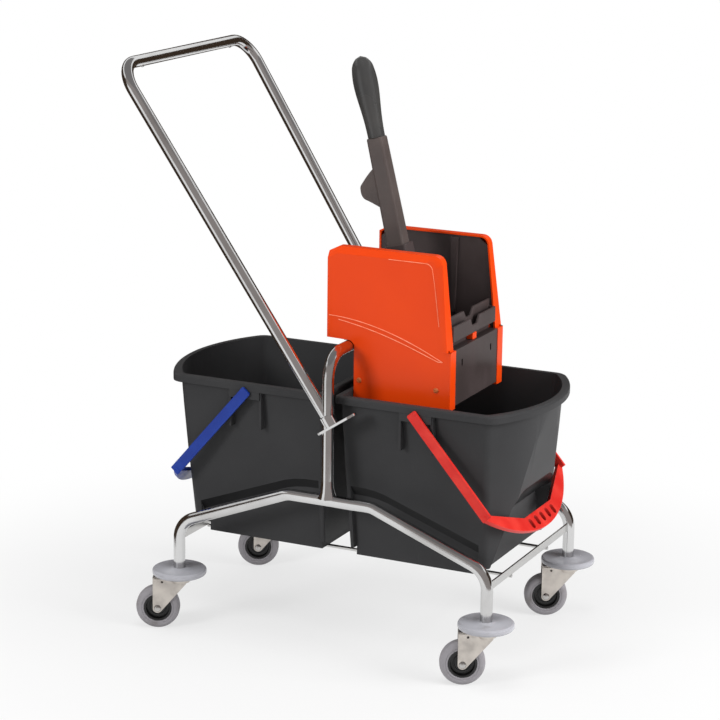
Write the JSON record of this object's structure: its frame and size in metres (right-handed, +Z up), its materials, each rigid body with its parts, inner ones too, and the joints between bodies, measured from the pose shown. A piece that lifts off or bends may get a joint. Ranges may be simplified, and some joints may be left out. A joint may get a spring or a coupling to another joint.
{
  "type": "mop bucket trolley",
  "caption": "Chrome tube trolley on swivel castors carrying twin dark grey mop buckets with swing bails and a red lever press hung on the centre hoop.",
  "frame": {"origin": "on the floor under the middle of the wheelbase and the track", "axes": "+X towards the bucket with the press, +Y across the trolley, +Z up"},
  "size_m": [0.7147, 0.459, 0.9799],
  "materials": {
    "chrome_tube": "polished chrome plate",
    "zinc_bar": "bright zinc plate",
    "zinc_sheet": "warm zinc plate on stamped sheet",
    "steel_pin": "plain steel",
    "disc_grey": "light grey moulded plastic",
    "hub_black": "black moulded plastic",
    "tyre_grey": "grey non-marking rubber",
    "bucket_grey": "dark grey moulded plastic with a fine grain",
    "bail_blue": "blue moulded plastic",
    "bail_red": "red moulded plastic",
    "press_red": "orange-red moulded plastic",
    "press_dark": "dark grey moulded plastic",
    "lever_grey": "brownish grey moulded plastic",
    "grip_dark": "dark soft-touch plastic"
  },
  "bodies": {
    "frame": {"side_rail_near": "chrome_tube", "side_rail_far": "chrome_tube", "hoop": "chrome_tube", "crossbar_left": "zinc_bar", "crossbar_right": "zinc_bar", "support_rod_near": "zinc_bar", "support_rod_far": "zinc_bar", "push_handle": "chrome_tube", "handle_lug_near": "chrome_tube", "handle_lug_far": "chrome_tube", "castor_stem_left_near": "zinc_sheet", "castor_stem_left_far": "zinc_sheet", "castor_stem_right_near": "zinc_sheet", "castor_stem_right_far": "zinc_sheet", "bumper_disc_left_near": "disc_grey", "bumper_disc_left_far": "disc_grey", "bumper_disc_right_near": "disc_grey", "bumper_disc_right_far": "disc_grey"},
    "castor_left_near": {"castor_fork_left_near": "zinc_sheet", "castor_axle_left_near": "steel_pin"},
    "castor_left_far": {"castor_fork_left_far": "zinc_sheet", "castor_axle_left_far": "steel_pin"},
    "castor_right_near": {"castor_fork_right_near": "zinc_sheet", "castor_axle_right_near": "steel_pin"},
    "castor_right_far": {"castor_fork_right_far": "zinc_sheet", "castor_axle_right_far": "steel_pin"},
    "wheel_left_near": {"wheel_hub_left_near": "hub_black", "wheel_tyre_left_near": "tyre_grey"},
    "wheel_left_far": {"wheel_hub_left_far": "hub_black", "wheel_tyre_left_far": "tyre_grey"},
    "wheel_right_near": {"wheel_hub_right_near": "hub_black", "wheel_tyre_right_near": "tyre_grey"},
    "wheel_right_far": {"wheel_hub_right_far": "hub_black", "wheel_tyre_right_far": "tyre_grey"},
    "bucket_left": {"bucket_left": "bucket_grey"},
    "bail_left": {"bail_left": "bail_blue"},
    "bucket_right": {"bucket_right": "bucket_grey"},
    "bail_right": {"bail_right": "bail_red"},
    "press": {"press_body": "press_dark", "press_cover_near": "press_red", "press_cover_far": "press_red", "press_screws": "steel_pin", "front_jaw": "press_dark", "jaw_stop": "press_red", "pivot_shaft": "steel_pin"},
    "lever": {"rear_jaw": "press_dark", "lever_arm": "lever_grey", "lever_grip": "grip_dark"}
  },
  "joints": [
    {"name": "swivel_left_near", "type": "hinge", "parent": "frame", "child": "castor_left_near", "pos_m": [-0.285, -0.183, 0.09], "axis": [0, 0, 1], "continuous": true},
    {"name": "swivel_left_far", "type": "hinge", "parent": "frame", "child": "castor_left_far", "pos_m": [-0.285, 0.183, 0.09], "axis": [0, 0, 1], "continuous": true},
    {"name": "swivel_right_near", "type": "hinge", "parent": "frame", "child": "castor_right_near", "pos_m": [0.285, -0.183, 0.09], "axis": [0, 0, 1], "continuous": true},
    {"name": "swivel_right_far", "type": "hinge", "parent": "frame", "child": "castor_right_far", "pos_m": [0.285, 0.183, 0.09], "axis": [0, 0, 1], "continuous": true},
    {"name": "roll_left_near", "type": "hinge", "parent": "castor_left_near", "child": "wheel_left_near", "pos_m": [-0.31853, -0.19864, 0.0375], "axis": [0.4226, -0.9063, 0], "continuous": true},
    {"name": "roll_left_far", "type": "hinge", "parent": "castor_left_far", "child": "wheel_left_far", "pos_m": [-0.31853, 0.16736, 0.0375], "axis": [0.4226, -0.9063, 0], "continuous": true},
    {"name": "roll_right_near", "type": "hinge", "parent": "castor_right_near", "child": "wheel_right_near", "pos_m": [0.25147, -0.19864, 0.0375], "axis": [0.4226, -0.9063, 0], "continuous": true},
    {"name": "roll_right_far", "type": "hinge", "parent": "castor_right_far", "child": "wheel_right_far", "pos_m": [0.25147, 0.16736, 0.0375], "axis": [0.4226, -0.9063, 0], "continuous": true},
    {"name": "lift_bucket_left", "type": "slide", "parent": "frame", "child": "bucket_left", "axis": [-0.2756, 0, 0.9613], "range_m": [0, 0.3]},
    {"name": "swing_bail_left", "type": "hinge", "parent": "bucket_left", "child": "bail_left", "pos_m": [-0.1715, 0, 0.4243], "axis": [0, 1, 0], "range_deg": [0, 140]},
    {"name": "lift_bucket_right", "type": "slide", "parent": "frame", "child": "bucket_right", "axis": [0.2756, 0, 0.9613], "range_m": [0, 0.3]},
    {"name": "swing_bail_right", "type": "hinge", "parent": "bucket_right", "child": "bail_right", "pos_m": [0.1425, 0, 0.4243], "axis": [0, -1, 0], "range_deg": [0, 116]},
    {"name": "lift_press", "type": "slide", "parent": "bucket_right", "child": "press", "axis": [0, 0, 1], "range_m": [0, 0.3]},
    {"name": "lever_pivot", "type": "hinge", "parent": "press", "child": "lever", "pos_m": [0.086, 0, 0.455], "axis": [0, 1, 0], "range_deg": [0, 34]}
  ]
}
